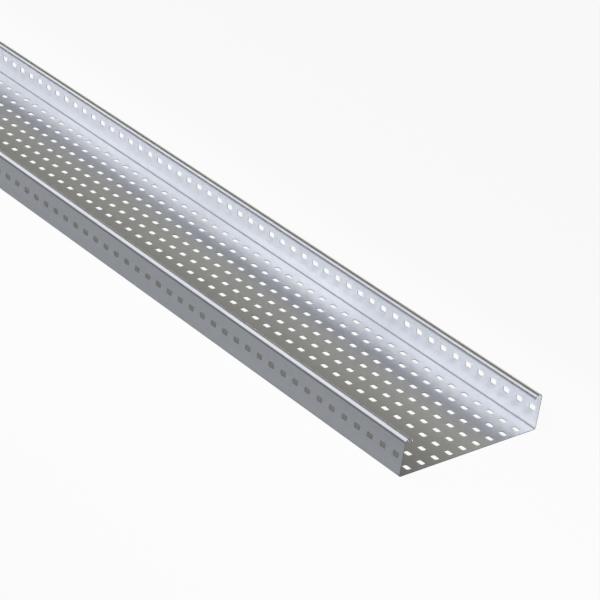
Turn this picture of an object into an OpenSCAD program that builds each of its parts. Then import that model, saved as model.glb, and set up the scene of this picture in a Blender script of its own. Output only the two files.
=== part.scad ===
// Perforated cable tray: one length of folded galvanised sheet steel.
// X runs along the tray, Y across it, and Z is up.
// The origin is at the middle of the underside.

/* [Sheet] */
// Length of the tray
tray_len = 2000; // [300:25:3000]
// Width over the outside of the side walls
tray_w = 250; // [150:5:400]
// Height from the underside to the top of the lips
tray_h = 56; // [45:0.5:110]
// Thickness of the sheet
sheet_t = 1; // [0.7:0.1:1.5]
// Inside radius of the bends between the floor and the walls
floor_bend_r = 2; // [0.5:0.5:8]

/* [Lips] */
// Width of a rolled lip, from the outside of the wall to the inner face of the roll
lip_w = 12.5; // [8:0.5:16]
// Length of the straight tail that hangs below the roll
lip_tail = 1; // [0.5:0.5:5]

/* [Slots] */
// Distance from slot to slot, along the tray and across it
slot_pitch = 25; // [20:1:40]
// Length of a slot, along the tray
slot_len = 11; // [7:0.5:14]
// Width of a slot
slot_w = 8; // [6:0.5:10]
// Height of the wall slots' middle line above the underside
wall_slot_z = 28.5; // [20:0.5:32]

/* [Hidden] */
// How far a cutting shape runs past each face of the sheet
cut_past = 0.5;
// Arc segments of a full circle
$fn = 64;

// The grid of slots is centred on the tray. It keeps half a pitch or more clear at each
// end, and a whole pitch or more clear of the walls.
rows_along = floor(tray_len / slot_pitch);
rows_across = floor(tray_w / slot_pitch) - 1;
first_x = -(rows_along - 1) * slot_pitch / 2;
first_y = -(rows_across - 1) * slot_pitch / 2;

// Outside radii of the floor's bends and of the rolled lips
floor_bend_out = floor_bend_r + sheet_t;
lip_roll_out = lip_w / 2;

// A quarter ring of sheet about the origin, in the quadrant where both axes are positive
module bend(outer_r) {
    intersection() {
        difference() {
            circle(outer_r);
            circle(outer_r - sheet_t);
        }
        square(outer_r);
    }
}

// Half of the tray's section, from its middle line to one lip, drawn with the first axis across
// the tray and the second axis up
module half_section() {
    half_w = tray_w / 2;
    square([half_w - floor_bend_out, sheet_t]);
    translate([half_w - floor_bend_out, floor_bend_out])
        mirror([0, 1])
            bend(floor_bend_out);
    translate([half_w - sheet_t, floor_bend_out])
        square([sheet_t, tray_h - floor_bend_out - lip_roll_out]);
    translate([half_w - lip_roll_out, tray_h - lip_roll_out]) {
        bend(lip_roll_out);
        mirror([1, 0])
            bend(lip_roll_out);
        translate([-lip_roll_out, -lip_tail])
            square([sheet_t, lip_tail]);
    }
}

// The folded sheet before it is punched
module folded_sheet() {
    rotate([90, 0, 90])
        linear_extrude(tray_len, center = true) {
            half_section();
            mirror([1, 0])
                half_section();
        }
}

// The punch for one slot: long along X, centred on the outside face of the sheet and through it
module slot_punch() {
    translate([-slot_len / 2, -slot_w / 2, -cut_past])
        cube([slot_len, slot_w, sheet_t + 2 * cut_past]);
}

// The slots of one row across the tray: those in the floor and one in each wall
module slot_row() {
    for (k = [0 : rows_across - 1])
        translate([0, first_y + k * slot_pitch, 0])
            slot_punch();
    translate([0, -tray_w / 2, wall_slot_z])
        rotate([-90, 0, 0])
            slot_punch();
    translate([0, tray_w / 2, wall_slot_z])
        rotate([90, 0, 0])
            slot_punch();
}

// The tray: one folded and punched sheet
module tray() {
    color([0.72, 0.74, 0.77])
        difference() {
            folded_sheet();
            for (i = [0 : rows_along - 1])
                translate([first_x + i * slot_pitch, 0, 0])
                    slot_row();
        }
}

tray();
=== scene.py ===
"""A perforated cable tray of galvanised sheet steel.

The sheet is one closed mesh: a folded section swept along X, with eased edges and
round-cornered slots. All sizes are in metres.
"""
import math
from collections import namedtuple
import bpy
from mathutils import Matrix, Vector


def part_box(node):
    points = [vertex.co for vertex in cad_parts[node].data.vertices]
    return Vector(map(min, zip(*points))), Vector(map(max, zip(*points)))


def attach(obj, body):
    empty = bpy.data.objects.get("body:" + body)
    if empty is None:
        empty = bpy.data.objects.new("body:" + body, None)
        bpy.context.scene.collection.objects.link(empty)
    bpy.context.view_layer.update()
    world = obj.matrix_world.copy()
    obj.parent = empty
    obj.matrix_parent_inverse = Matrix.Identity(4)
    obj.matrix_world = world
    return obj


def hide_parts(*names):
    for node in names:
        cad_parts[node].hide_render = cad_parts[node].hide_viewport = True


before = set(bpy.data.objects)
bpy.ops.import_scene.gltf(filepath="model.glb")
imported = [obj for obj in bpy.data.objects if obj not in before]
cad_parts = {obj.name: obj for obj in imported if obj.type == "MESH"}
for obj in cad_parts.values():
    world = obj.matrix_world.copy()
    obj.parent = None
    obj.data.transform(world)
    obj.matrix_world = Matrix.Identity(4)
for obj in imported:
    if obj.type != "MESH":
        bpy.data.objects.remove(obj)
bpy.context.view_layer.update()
tray_low, tray_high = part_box("tray")

# Degrees
QUARTER_TURN = 90
HALF_TURN = 180

# Sheet
TRAY_LEN = tray_high.x - tray_low.x
TRAY_W = tray_high.y - tray_low.y
TRAY_H = tray_high.z - tray_low.z
SHEET_T = 0.001
FLOOR_BEND_OUT = 0.003
LIP_W = 0.0125
LIP_TAIL = 0.001
LIP_ROLL_R = LIP_W / 2

# Slots
SLOT_PITCH = 0.025
SLOT_LEN = 0.011
SLOT_W = 0.008
SLOT_CORNER_R = 0.002
SLOT_CORNERS = 4
WALL_SLOT_Z = 0.0285
MIDDLE = "middle"
ROWS_ALONG = round(TRAY_LEN / SLOT_PITCH)
ROWS_ACROSS = round(TRAY_W / SLOT_PITCH) - 1

# Fineness
EDGE_R = 0.00012
FLOOR_BEND_STEPS = 8
LIP_ROLL_STEPS = 20
SLOT_CORNER_STEPS = 4

# Unrolled map: both faces of the sheet, each in two lengths, side by side in lanes
MAP_NAME = "OFBake"
MAP_GAP = 0.008
MAP_LENGTHS = 2
MAP_LANES = 2 * MAP_LENGTHS

EDGE_ATTRIBUTE = "cut_edge"
PAINTED_SHADE_ATTRIBUTE = "dull"

# Zinc coat
ZINC_DULL = (0.81, 0.83, 0.86, 1.0)
ZINC_BRIGHT = (0.91, 0.93, 0.95, 1.0)
# Grey of painted shade: in the crease of the floor's folds and in bands around the lip rolls
PAINTED_SHADE_GREY = (0.38, 0.38, 0.39, 1.0)
CUT_STEEL = (0.42, 0.42, 0.43, 1.0)
ZINC_BRIGHT_ROUGH, ZINC_DULL_ROUGH = 0.33, 0.39
CUT_ROUGH = 0.5
CLOUD_SCALE = (4.0, 14.0, 14.0)
CLOUD_DETAIL = 4.0
STREAK_SCALE = (1.5, 210.0, 210.0)
STREAK_DETAIL = 2.0
SPANGLE_SCALE = 230.0
CLOUD_SHARE, STREAK_SHARE, SPANGLE_SHARE = 0.6, 0.28, 0.12
# The part of the pattern's tones that goes from the darker to the brighter zinc
TONE_LOW, TONE_HIGH = 0.3, 0.7
# Share of painted shade (grey) in the zinc of the lips, by degrees around the roll from the wall: bands set
# darker and lighter to stand for how the light falls on the roll
LIP_PAINTED_SHADE = [(0, 0.0), (9, 0.7), (27, 0.4), (54, 0.3), (90, 0.0), (144, 0.6), (HALF_TURN, 0.3)]
BUMP_STRENGTH = 0.03
BUMP_DEPTH = 0.00004

# Stage
FLOOR_HALF = 15.0
FLOOR_COLOUR = (0.85, 0.85, 0.85, 1.0)
WHITE = (1.0, 1.0, 1.0, 1.0)
BACKDROP_COLOUR = (0.97, 0.97, 0.97, 1.0)
# Share of plain white in the floor that the camera sees; the rest keeps the shadow
FLOOR_WHITE_SHARE = 0.93
# The floor that metal mirrors is dimmer
FLOOR_COLOUR_IN_METAL = (0.38, 0.39, 0.39, 1.0)
FLOOR_WHITE_IN_METAL = 0.02
LAMP_LEN = 7.0
LAMP_MIDDLE_X = 0.4
LOOKS_DOWN, LOOKS_TO_FRONT = 0.0, math.pi / 2
# A softbox above the tray, a little in front of it, looks down
SOFTBOX_Y, SOFTBOX_Z = -0.30, 0.52
SOFTBOX_W = 0.72
SOFTBOX_COLOUR = (1.0, 1.0, 1.04)
SOFTBOX_RADIANCE = 1.05
# A low card behind the tray faces it
CARD_Y, CARD_Z = 0.30, 0.15
CARD_W = 0.18
CARD_COLOUR = (1.05, 1.0, 0.85)
CARD_RADIANCE = 0.7
# Light of the room by its angle over the tray: 0 is the +Y horizon, 180 the -Y horizon
DARK = (0.0, 0.0, 0.0, 1.0)
ROOM_IN_FRONT = (0.91, 0.93, 1.0, 1.0)
ROOM_STRENGTH = 1.35
ROOM_LIGHT = [(128, DARK), (146, ROOM_IN_FRONT), (164, DARK)]

# Camera, for a square picture
CAMERA_EYE = Vector((2.7601, -2.0683, 1.6031))
CAMERA_AZIMUTH = math.radians(135.6413)
CAMERA_DOWN = math.radians(27.6758)
CAMERA_ROLL = math.radians(8.7798)
CAMERA_LENS_MM = 144.285
CAMERA_SENSOR_MM = 36.0
CAMERA_REACH = 4 * FLOOR_HALF

# Vertices of the closed section at one place: along each face, and all the way round
SectionLoop = namedtuple("SectionLoop", "outer inner ring")


class Station:
    """One line of the section: a point on the outside face and the way that face looks."""

    def __init__(self, y, z, normal_y, normal_z, slot_at=None):
        self.y = y
        self.z = z
        self.normal = Vector((0.0, normal_y, normal_z))
        # Height of the slots between this station and the next, or MIDDLE, or None
        self.slot_at = slot_at
        # Distance from the section's start, along the outside face
        self.along = 0.0
        # Share of painted shade (grey) in the zinc on each face
        self.painted_shade_outside = 0.0
        self.painted_shade_inside = 0.0

    def outside(self, x):
        """The station's point on the outside face at x."""
        return Vector((x, self.y, self.z))

    def inside(self, x):
        """The station's point on the inside face at x."""
        return self.outside(x) - SHEET_T * self.normal


def arc_stations(centre_y, centre_z, radius, start, end, steps):
    """Stations of a bend, both of its ends included."""
    angles = [math.radians(start + (end - start) * i / steps) for i in range(steps + 1)]
    return [
        Station(
            centre_y + radius * math.cos(a),
            centre_z + radius * math.sin(a),
            math.cos(a),
            math.sin(a),
        )
        for a in angles
    ]


def painted_lip_shade(degrees):
    """Share of painted shade (grey) on the lip's outside face, this far around the roll from the wall."""
    for (start, share), (end, next_share) in zip(LIP_PAINTED_SHADE, LIP_PAINTED_SHADE[1:]):
        if degrees <= end:
            return share + (next_share - share) * (degrees - start) / (end - start)


def half_section():
    """Stations from the floor's +Y bend to the end of the +Y lip."""
    half_w = TRAY_W / 2
    bend_y = half_w - FLOOR_BEND_OUT
    roll_y = half_w - LIP_ROLL_R
    roll_z = TRAY_H - LIP_ROLL_R
    floor_bend = arc_stations(
        bend_y, FLOOR_BEND_OUT, FLOOR_BEND_OUT, -QUARTER_TURN, 0, FLOOR_BEND_STEPS
    )
    # Painted shade in the crease of the floor's fold, darkest in the middle of the bend
    for i, station in enumerate(floor_bend):
        station.painted_shade_inside = math.sin(math.pi * i / FLOOR_BEND_STEPS)
    floor_bend[-1].slot_at = WALL_SLOT_Z
    lip_roll = arc_stations(roll_y, roll_z, LIP_ROLL_R, 0, HALF_TURN, LIP_ROLL_STEPS)
    # Painted shade in bands around the outside of the lip roll
    for i, station in enumerate(lip_roll):
        station.painted_shade_outside = painted_lip_shade(HALF_TURN * i / LIP_ROLL_STEPS)
    tail_end = Station(roll_y - LIP_ROLL_R, roll_z - LIP_TAIL + EDGE_R, -1.0, 0.0)
    tail_end.painted_shade_outside = lip_roll[-1].painted_shade_outside
    return floor_bend + lip_roll + [tail_end]


def full_section():
    """Stations from the end of the -Y lip, along the floor, to the end of the +Y lip."""
    right = half_section()
    left = [Station(-s.y, s.z, -s.normal.y, s.normal.z) for s in reversed(right)]
    # The painted shade is mirrored with the section
    for mirrored, s in zip(left, reversed(right)):
        mirrored.painted_shade_outside, mirrored.painted_shade_inside = s.painted_shade_outside, s.painted_shade_inside
    wall_top = next(i for i, s in enumerate(right) if s.slot_at) + 1
    left[len(right) - 1 - wall_top].slot_at = WALL_SLOT_Z
    first_edge = -ROWS_ACROSS * SLOT_PITCH / 2
    edges = [first_edge + k * SLOT_PITCH for k in range(ROWS_ACROSS + 1)]
    floor = [Station(y, 0.0, 0.0, -1.0, MIDDLE) for y in edges]
    floor[-1].slot_at = None
    stations = left + floor + right
    for before, here in zip(stations, stations[1:]):
        here.along = before.along + (here.outside(0.0) - before.outside(0.0)).length
    return stations


class SheetMesh:
    """The sheet's faces, and its vertices with their normals, marks and places on the map."""

    def __init__(self):
        self.points = []
        self.normals = []
        self.edge_marks = []
        # Share of painted shade at each vertex
        self.painted_shade_marks = []
        # Per vertex: whether it is on the inside face, and its place on the flat outside face.
        # The second place is used where an inside vertex meets an edge of the sheet.
        self.on_inside = []
        self.places = []
        self.edge_places = []
        self.faces = []

    def add(self, point, normal, place, edge=0.0, inside=False, edge_place=None, dull=0.0):
        """One vertex; its number is returned."""
        self.points.append(point)
        self.normals.append(normal)
        self.edge_marks.append(edge)
        self.painted_shade_marks.append(dull)
        self.on_inside.append(inside)
        self.places.append(place)
        self.edge_places.append(edge_place or place)
        return len(self.points) - 1

    def face(self, *corners):
        """One face, without the corners that repeat."""
        kept = [c for i, c in enumerate(corners) if c != corners[i - 1]]
        if len(kept) > 2:
            self.faces.append(kept)

    def map_places(self, breadth):
        """Map coordinates of all the faces' corners, for a sheet of this breadth when flat."""
        length = TRAY_LEN / MAP_LENGTHS
        lane = breadth + 2 * MAP_GAP
        side = max(MAP_LANES * lane, length + 2 * MAP_GAP)
        flat = []
        for corners in self.faces:
            inside = all(self.on_inside[c] for c in corners)
            middle_x = sum(self.points[c].x for c in corners) / len(corners)
            part = min(int((middle_x - tray_low.x) / length), MAP_LENGTHS - 1)
            lane_start = (part + MAP_LENGTHS * inside) * lane + MAP_GAP
            part_start = tray_low.x + part * length - MAP_GAP
            for c in corners:
                at_edge = self.on_inside[c] and not inside
                x, across = self.edge_places[c] if at_edge else self.places[c]
                flat += [(x - part_start) / side, (across + lane_start) / side]
        return flat


def slot_ring(half_len, half_w, corner_r):
    """Points of a round-cornered slot about its middle, anticlockwise, with the outward directions."""
    ring = []
    for quarter in range(SLOT_CORNERS):
        turn = quarter * math.pi / 2
        side_x = 1 if quarter in (0, 3) else -1
        side_y = 1 if quarter in (0, 1) else -1
        for step in range(SLOT_CORNER_STEPS + 1):
            a = turn + step / SLOT_CORNER_STEPS * math.pi / 2
            out = (math.cos(a), math.sin(a))
            u = side_x * (half_len - corner_r) + corner_r * out[0]
            v = side_y * (half_w - corner_r) + corner_r * out[1]
            ring.append(((u, v), out))
    return ring


def add_slot(sheet, middle, middle_along, across, normal, outer_corners, inner_corners):
    """One slot in its cell: the flats around it, its eased edges and its walls."""
    lengthwise = Vector((1.0, 0.0, 0.0))
    wide = slot_ring(SLOT_LEN / 2 + EDGE_R, SLOT_W / 2 + EDGE_R, SLOT_CORNER_R + EDGE_R)
    true = slot_ring(SLOT_LEN / 2, SLOT_W / 2, SLOT_CORNER_R)
    levels = [
        (wide, 0.0, normal, 0.0),
        (true, EDGE_R, None, 1.0),
        (true, SHEET_T - EDGE_R, None, 1.0),
        (wide, SHEET_T, -normal, 0.0),
    ]
    rings = []
    for outline, depth, flat_normal, edge in levels:
        ring = []
        for (u, v), out in outline:
            point = middle + u * lengthwise + v * across - depth * normal
            into_slot = -(out[0] * lengthwise + out[1] * across)
            place = (middle.x + u, middle_along + v)
            # The slot's walls lie in the slot on the flat map, each level a little further in
            inside = depth == SHEET_T
            further = depth + EDGE_R * inside
            inset = (middle.x + u - further * out[0], middle_along + v - further * out[1])
            own_place = place if inside else inset
            ring.append(sheet.add(point, flat_normal or into_slot, own_place, edge, inside, inset))
        rings.append(ring)
    count = len(true)
    for upper, lower in zip(rings, rings[1:]):
        for i in range(count):
            j = (i + 1) % count
            sheet.face(upper[i], lower[i], lower[j], upper[j])
    for quarter in range(SLOT_CORNERS):
        first = quarter * (SLOT_CORNER_STEPS + 1)
        last = first + SLOT_CORNER_STEPS
        after = (last + 1) % count
        following = (quarter + 1) % SLOT_CORNERS
        outer, next_outer = outer_corners[quarter], outer_corners[following]
        inner, next_inner = inner_corners[quarter], inner_corners[following]
        for i in range(first, last):
            sheet.face(outer, rings[0][i], rings[0][i + 1])
            sheet.face(inner, rings[-1][i + 1], rings[-1][i])
        sheet.face(outer, rings[0][last], rings[0][after], next_outer)
        sheet.face(inner, next_inner, rings[-1][after], rings[-1][last])


def section_loop(sheet, stations, x):
    """Vertices of the section at x: the outside face, a tail's edge, the inside face, an edge."""
    first, last = stations[0], stations[-1]
    at_low_end = x < tray_low.x + SLOT_PITCH / 2
    at_high_end = x > tray_high.x - SLOT_PITCH / 2
    past_end = (SHEET_T + EDGE_R) * (at_high_end - at_low_end)
    outer = []
    inner = []
    for s in stations:
        place = (x, s.along)
        past_edge = SHEET_T * ((s is last) - (s is first))
        edge_place = (x + past_end, s.along + past_edge)
        outer.append(sheet.add(s.outside(x), s.normal, place, dull=s.painted_shade_outside))
        inner.append(sheet.add(s.inside(x), -s.normal, place, 0.0, True, edge_place, s.painted_shade_inside))
    down = Vector((0.0, 0.0, -1.0))
    edges = []
    for s, way in ((last, 1), (first, -1)):
        for depth in (EDGE_R, SHEET_T - EDGE_R):
            point = s.outside(x) - depth * s.normal + EDGE_R * down
            edges.append(sheet.add(point, down, (x, s.along + way * depth), 1.0))
    last_out, last_in, first_out, first_in = edges
    ring = outer + [last_out, last_in] + inner[::-1] + [first_in, first_out]
    return SectionLoop(outer, inner, ring)


def add_end(sheet, stations, section_ring, x, facing):
    """The cut end of the sheet at x, with its eased edge."""
    way = Vector((facing, 0.0, 0.0))
    rows = []
    for depth in (EDGE_R, SHEET_T - EDGE_R):
        row = []
        for s in stations:
            place = (x + facing * depth, s.along)
            row.append(sheet.add(s.outside(x) - depth * s.normal, way, place, 1.0))
        rows.append(row)
    outer, inner = rows
    end_ring = outer + [outer[-1], inner[-1]] + inner[::-1] + [inner[0], outer[0]]
    count = len(section_ring)
    for i in range(count):
        j = (i + 1) % count
        corners = (section_ring[i], end_ring[i], end_ring[j], section_ring[j])
        sheet.face(*(corners if facing < 0 else corners[::-1]))
    for i in range(len(stations) - 1):
        corners = (outer[i], inner[i], inner[i + 1], outer[i + 1])
        sheet.face(*(corners if facing < 0 else corners[::-1]))


def build_sheet():
    """The whole folded and punched sheet, and its breadth when flat."""
    sheet = SheetMesh()
    stations = full_section()
    cuts = [tray_low.x + k * SLOT_PITCH for k in range(ROWS_ALONG + 1)]
    cuts[0] = tray_low.x + EDGE_R
    cuts[-1] = tray_high.x - EDGE_R
    loops = [section_loop(sheet, stations, x) for x in cuts]
    count = len(loops[0].ring)
    slotted = [i for i, s in enumerate(stations) if s.slot_at]
    # The ring runs back along the inside face, after the two vertices of the last tail's edge
    inner_slotted = [2 * len(stations) - i for i in slotted]
    plain = [i for i in range(count) if i not in slotted and i not in inner_slotted]
    for k in range(ROWS_ALONG):
        here, there = loops[k], loops[k + 1]
        for i in plain:
            j = (i + 1) % count
            sheet.face(here.ring[i], here.ring[j], there.ring[j], there.ring[i])
        for i in slotted:
            s, t = stations[i], stations[i + 1]
            across = (t.outside(0.0) - s.outside(0.0)).normalized()
            middle = (s.outside(0.0) + t.outside(0.0)) / 2
            if s.slot_at != MIDDLE:
                middle.z = s.slot_at
            middle_along = s.along + (middle - s.outside(0.0)).length
            middle.x = tray_low.x + (k + 0.5) * SLOT_PITCH
            cell = [(there, i + 1), (here, i + 1), (here, i), (there, i)]
            outer_corners = [loop.outer[n] for loop, n in cell]
            inner_corners = [loop.inner[n] for loop, n in cell]
            add_slot(sheet, middle, middle_along, across, s.normal, outer_corners, inner_corners)
    add_end(sheet, stations, loops[0].ring, tray_low.x, -1.0)
    add_end(sheet, stations, loops[-1].ring, tray_high.x, 1.0)
    return sheet, stations[-1].along


def new_object(name, data):
    """An object with this data, in the scene."""
    thing = bpy.data.objects.new(name, data)
    bpy.context.scene.collection.objects.link(thing)
    return thing


def make_tray():
    """The sheet as an object, with its map, smooth normals and marks: cut edges and painted shade."""
    sheet, breadth = build_sheet()
    mesh = bpy.data.meshes.new("tray_sheet")
    mesh.from_pydata(sheet.points, [], sheet.faces)
    mesh.update()
    mesh.uv_layers.new(name=MAP_NAME).uv.foreach_set("vector", sheet.map_places(breadth))
    mesh.polygons.foreach_set("use_smooth", [True] * len(mesh.polygons))
    mesh.normals_split_custom_set_from_vertices(sheet.normals)
    for name, values in ((EDGE_ATTRIBUTE, sheet.edge_marks), (PAINTED_SHADE_ATTRIBUTE, sheet.painted_shade_marks)):
        mesh.attributes.new(name, "FLOAT", "POINT").data.foreach_set("value", values)
    return new_object("tray_sheet", mesh)


def feed(tree, socket, value):
    """Sets an input to a fixed value, or links it to another node's output."""
    if isinstance(value, bpy.types.NodeSocket):
        tree.links.new(value, socket)
    else:
        socket.default_value = value


def add_node(tree, kind, inputs=(), **settings):
    """A shader node with its settings, and its inputs by name or place."""
    node = tree.nodes.new(kind)
    for name, value in settings.items():
        setattr(node, name, value)
    for key, value in dict(inputs).items():
        feed(tree, node.inputs[key], value)
    return node


def math_node(tree, operation, *values):
    """The outcome of a sum on numbers or the outputs of other nodes."""
    return add_node(tree, "ShaderNodeMath", enumerate(values), operation=operation).outputs[0]


def mix(tree, data_type, factor, first, second):
    """A colour or number that goes from the first to the second, each fixed or an output."""
    node = add_node(tree, "ShaderNodeMix", {"Factor": factor}, data_type=data_type)
    socket_type = "VALUE" if data_type == "FLOAT" else data_type
    for name, value in (("A", first), ("B", second)):
        feed(tree, next(i for i in node.inputs if (i.name, i.type) == (name, socket_type)), value)
    return next(o for o in node.outputs if o.type == socket_type)


def stretched_noise(tree, place, scale, detail):
    """Soft noise of the tray's own coordinates, with a scale for each axis."""
    stretched = add_node(tree, "ShaderNodeMapping", {"Vector": place, "Scale": scale}).outputs[0]
    inputs = {"Vector": stretched, "Scale": 1.0, "Detail": detail}
    return add_node(tree, "ShaderNodeTexNoise", inputs).outputs["Fac"]


def zinc_tone(tree):
    """The pattern of the zinc, from 0 where it is darker to 1 where it is brighter."""
    place = add_node(tree, "ShaderNodeTexCoord").outputs["Object"]
    clouds = stretched_noise(tree, place, CLOUD_SCALE, CLOUD_DETAIL)
    streaks = stretched_noise(tree, place, STREAK_SCALE, STREAK_DETAIL)
    cells = add_node(tree, "ShaderNodeTexVoronoi", {"Vector": place, "Scale": SPANGLE_SCALE})
    spangle = add_node(tree, "ShaderNodeSeparateColor", {"Color": cells.outputs["Color"]}).outputs[0]
    tone = math_node(tree, "MULTIPLY", clouds, CLOUD_SHARE)
    tone = math_node(tree, "MULTIPLY_ADD", streaks, STREAK_SHARE, tone)
    tone = math_node(tree, "MULTIPLY_ADD", spangle, SPANGLE_SHARE, tone)
    inputs = {"Value": tone, "From Min": TONE_LOW, "From Max": TONE_HIGH}
    return add_node(tree, "ShaderNodeMapRange", inputs).outputs[0]


def galvanised_steel():
    """Zinc-coated sheet: cloudy, with faint rolling streaks and spangle, painted shade in the folds' creases
    and around the lips, and bare cut edges.
    """
    material = bpy.data.materials.new("galvanised_steel_sheet")
    material.use_nodes = True
    tree = material.node_tree
    shader = tree.nodes["Principled BSDF"]
    tone = zinc_tone(tree)
    edge = add_node(tree, "ShaderNodeAttribute", attribute_name=EDGE_ATTRIBUTE).outputs["Fac"]
    dull = add_node(tree, "ShaderNodeAttribute", attribute_name=PAINTED_SHADE_ATTRIBUTE).outputs["Fac"]
    zinc = mix(tree, "RGBA", tone, ZINC_DULL, ZINC_BRIGHT)
    # Painted shade: the zinc goes grey in the crease of the floor's folds and in bands around the lips
    zinc = mix(tree, "RGBA", dull, zinc, PAINTED_SHADE_GREY)
    inputs = {"Value": tone, "To Min": ZINC_DULL_ROUGH, "To Max": ZINC_BRIGHT_ROUGH}
    rough = add_node(tree, "ShaderNodeMapRange", inputs).outputs[0]
    inputs = {"Height": tone, "Strength": BUMP_STRENGTH, "Distance": BUMP_DEPTH}
    bump = add_node(tree, "ShaderNodeBump", inputs).outputs[0]
    feed(tree, shader.inputs["Base Color"], mix(tree, "RGBA", edge, zinc, CUT_STEEL))
    feed(tree, shader.inputs["Metallic"], 1.0)
    feed(tree, shader.inputs["Roughness"], mix(tree, "FLOAT", edge, rough, CUT_ROUGH))
    feed(tree, shader.inputs["Normal"], bump)
    return material


def floor_material():
    """A pale floor that the camera sees as near white, with the object's shadow. Metal shows it dimmer."""
    material = bpy.data.materials.new("studio_floor")
    material.use_nodes = True
    # The white is only seen and lights nothing, so it isn't sampled as a lamp
    material.cycles.emission_sampling = "NONE"
    tree = material.node_tree
    tree.nodes.clear()
    path = add_node(tree, "ShaderNodeLightPath").outputs
    seen = math_node(tree, "MAXIMUM", path["Is Camera Ray"], path["Is Transmission Ray"])
    in_metal = math_node(tree, "MULTIPLY", path["Is Glossy Ray"], FLOOR_WHITE_IN_METAL)
    share = math_node(tree, "MULTIPLY_ADD", seen, FLOOR_WHITE_SHARE, in_metal)
    colour = mix(tree, "RGBA", path["Is Glossy Ray"], FLOOR_COLOUR, FLOOR_COLOUR_IN_METAL)
    matt = add_node(tree, "ShaderNodeBsdfDiffuse", {"Color": colour}).outputs[0]
    glow = add_node(tree, "ShaderNodeEmission", {"Color": WHITE}).outputs[0]
    both = add_node(tree, "ShaderNodeMixShader", {0: share, 1: matt, 2: glow}).outputs[0]
    add_node(tree, "ShaderNodeOutputMaterial", {"Surface": both})
    return material


def make_floor():
    """A wide level floor under the tray."""
    mesh = bpy.data.meshes.new("studio_floor")
    signs = ((-1, -1), (1, -1), (1, 1), (-1, 1))
    corners = [(a * FLOOR_HALF, b * FLOOR_HALF, tray_low.z) for a, b in signs]
    mesh.from_pydata(corners, [], [(0, 1, 2, 3)])
    mesh.materials.append(floor_material())
    floor = new_object("studio_floor", mesh)


def make_lamp(name, place, tilt, width, colour, radiance):
    """A long soft lamp beside the tray; it looks down, or with a tilt towards -Y."""
    data = bpy.data.lights.new(name, "AREA")
    data.shape = "RECTANGLE"
    data.size = LAMP_LEN
    data.size_y = width
    data.color = colour
    data.energy = math.pi * LAMP_LEN * width * radiance
    lamp = new_object(name, data)
    lamp.location = (LAMP_MIDDLE_X, *place)
    lamp.rotation_euler.x = -tilt
    lamp.visible_camera = False


def make_world():
    """The room's dim light, by angle over the tray. The camera sees it as white."""
    world = bpy.data.worlds.new("studio")
    world.use_nodes = True
    bpy.context.scene.world = world
    tree = world.node_tree
    tree.nodes.clear()
    place = add_node(tree, "ShaderNodeTexCoord").outputs["Generated"]
    way = add_node(tree, "ShaderNodeSeparateXYZ", {"Vector": place}).outputs
    angle = math_node(tree, "ARCTAN2", way["Z"], way["Y"])
    turn = math_node(tree, "DIVIDE", angle, math.pi)
    ramp = add_node(tree, "ShaderNodeValToRGB", {"Fac": turn})
    stops = ramp.color_ramp.elements
    while len(stops) < len(ROOM_LIGHT):
        stops.new(1.0)
    for stop, (degrees, colour) in zip(stops, ROOM_LIGHT):
        stop.position = degrees / HALF_TURN
        stop.color = colour
    inputs = {"Color": ramp.outputs["Color"], "Strength": ROOM_STRENGTH}
    light = add_node(tree, "ShaderNodeBackground", inputs).outputs[0]
    backdrop = add_node(tree, "ShaderNodeBackground", {"Color": BACKDROP_COLOUR}).outputs[0]
    path = add_node(tree, "ShaderNodeLightPath").outputs
    seen = math_node(tree, "MAXIMUM", path["Is Camera Ray"], path["Is Transmission Ray"])
    both = add_node(tree, "ShaderNodeMixShader", {0: seen, 1: light, 2: backdrop}).outputs[0]
    add_node(tree, "ShaderNodeOutputWorld", {"Surface": both})


def make_camera():
    """The camera at the photograph's viewing angle."""
    level = math.cos(CAMERA_DOWN)
    ahead = Vector((math.cos(CAMERA_AZIMUTH), math.sin(CAMERA_AZIMUTH), 0.0))
    look = level * ahead - Vector((0.0, 0.0, math.sin(CAMERA_DOWN)))
    side = look.cross(Vector((0.0, 0.0, 1.0))).normalized()
    above = side.cross(look)
    right = math.cos(CAMERA_ROLL) * side + math.sin(CAMERA_ROLL) * above
    up = right.cross(look)
    data = bpy.data.cameras.new("photo_camera")
    data.lens = CAMERA_LENS_MM
    data.sensor_width = CAMERA_SENSOR_MM
    data.clip_end = CAMERA_REACH
    camera = new_object("photo_camera", data)
    turned = Matrix((right, up, -look)).transposed().to_4x4()
    camera.matrix_world = Matrix.Translation(CAMERA_EYE) @ turned
    bpy.context.scene.camera = camera


make_camera()
tray = make_tray()
tray.data.materials.append(galvanised_steel())
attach(tray, "root")
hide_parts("tray")
make_floor()
make_lamp("softbox", (SOFTBOX_Y, SOFTBOX_Z), LOOKS_DOWN, SOFTBOX_W, SOFTBOX_COLOUR, SOFTBOX_RADIANCE)
make_lamp("card", (CARD_Y, CARD_Z), LOOKS_TO_FRONT, CARD_W, CARD_COLOUR, CARD_RADIANCE)
make_world()
bpy.context.scene.view_settings.view_transform = "Standard"
